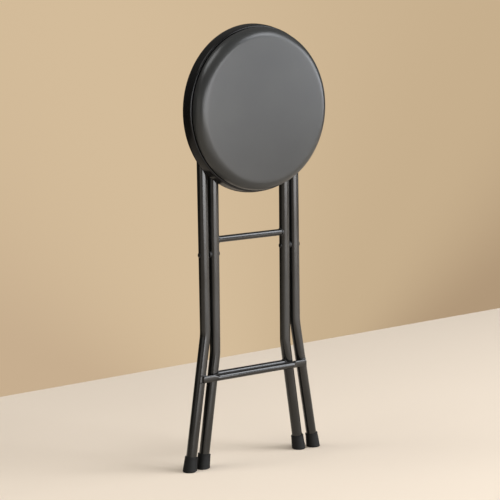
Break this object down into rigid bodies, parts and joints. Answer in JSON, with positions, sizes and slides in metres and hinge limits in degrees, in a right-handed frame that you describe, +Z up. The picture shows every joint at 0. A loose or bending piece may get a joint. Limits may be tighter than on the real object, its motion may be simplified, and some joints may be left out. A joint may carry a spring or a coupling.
{
  "type": "folding stool",
  "caption": "Folding stool with two nested bent-tube frames riveted at a pivot, rubber feet and a round padded seat that hangs flat against the legs.",
  "frame": {"origin": "on the floor, at the centre of the folded stool's width and depth", "axes": "+Z up, +X across the frames, -Y towards the side that the folded seat faces"},
  "size_m": [0.3088, 0.0679, 0.793],
  "materials": {
    "frame_paint": "satin black powder coat",
    "foot_rubber": "matt black rubber",
    "rivet_steel": "blackened steel",
    "spacer_plastic": "matt black nylon",
    "pan_paint": "satin black powder coat",
    "board_wood": "raw plywood",
    "foam": "soft open-cell foam",
    "cover_vinyl": "satin black vinyl with a fine grain",
    "bracket_paint": "satin black powder coat",
    "clip_plastic": "matt black nylon",
    "screw_steel": "zinc plated"
  },
  "bodies": {
    "inner_frame": {"inner_frame_tube": "frame_paint", "brace_rod": "frame_paint", "inner_crossbar": "frame_paint", "inner_foot_left": "foot_rubber", "inner_foot_right": "foot_rubber", "pivot_rivet_left": "rivet_steel", "pivot_rivet_right": "rivet_steel", "pivot_spacer_left": "spacer_plastic", "pivot_spacer_right": "spacer_plastic"},
    "outer_frame": {"outer_frame_tube": "frame_paint", "outer_crossbar": "frame_paint", "outer_foot_left": "foot_rubber", "outer_foot_right": "foot_rubber"},
    "seat": {"seat_pan": "pan_paint", "seat_board": "board_wood", "seat_foam": "foam", "seat_cover": "cover_vinyl", "hinge_sleeve_left": "bracket_paint", "hinge_sleeve_right": "bracket_paint", "hinge_bracket_left": "bracket_paint", "hinge_bracket_right": "bracket_paint", "catch_clip_left": "clip_plastic", "catch_clip_right": "clip_plastic", "hinge_screws": "screw_steel", "clip_screws": "screw_steel", "pan_screws": "screw_steel"}
  },
  "joints": [
    {"name": "frame_fold", "type": "hinge", "parent": "inner_frame", "child": "outer_frame", "pos_m": [0, 0.02115, 0.388], "axis": [-1, 0, 0], "range_deg": [0, 42.42]},
    {"name": "seat_tilt", "type": "hinge", "parent": "inner_frame", "child": "seat", "pos_m": [0, 0.02115, 0.583], "axis": [-1, 0, 0], "range_deg": [0, 111.51]}
  ]
}
